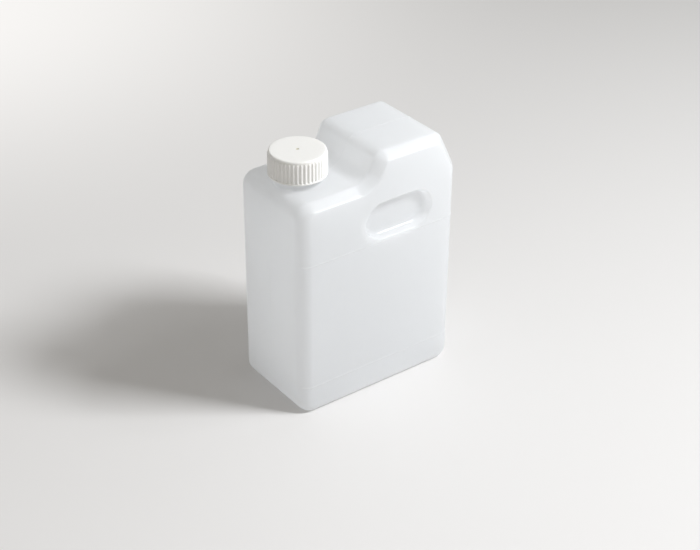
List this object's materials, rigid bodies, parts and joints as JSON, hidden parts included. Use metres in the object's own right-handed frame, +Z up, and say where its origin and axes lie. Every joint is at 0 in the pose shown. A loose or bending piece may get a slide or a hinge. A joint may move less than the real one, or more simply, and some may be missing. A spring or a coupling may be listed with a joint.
{
  "type": "square plastic bottle",
  "caption": "Stepped rectangular blow-moulded bottle with finger grips in both broad faces and a ribbed screw cap that turns and rises off its neck.",
  "frame": {"origin": "middle of the bottle's footprint, on the plane that it stands on", "axes": "+X from the neck end to the grip hump's end, +Y across the broad faces, +Z up along the neck"},
  "size_m": [0.147, 0.0834, 0.2074],
  "materials": {
    "milky_plastic": "milky, satin blown polyethylene",
    "white_cap_plastic": "white, satin moulded polypropylene",
    "liner_foam": "white, soft foamed sheet"
  },
  "bodies": {
    "bottle": {"bottle": "milky_plastic"},
    "liner": {"cap_liner": "liner_foam"},
    "cap": {"cap": "white_cap_plastic"}
  },
  "joints": [
    {"name": "cap_rise", "type": "slide", "parent": "bottle", "child": "liner", "axis": [0, 0, 1], "range_m": [0, 0.0211]},
    {"name": "cap_turn", "type": "hinge", "parent": "liner", "child": "cap", "pos_m": [-0.0468, 0, 0.1979], "axis": [0, 0, 1], "range_deg": [0, 1800]}
  ],
  "couplings": [
    {"joint": "cap_rise", "follows": "cap_turn", "m_per_rad": 0.00066845}
  ]
}
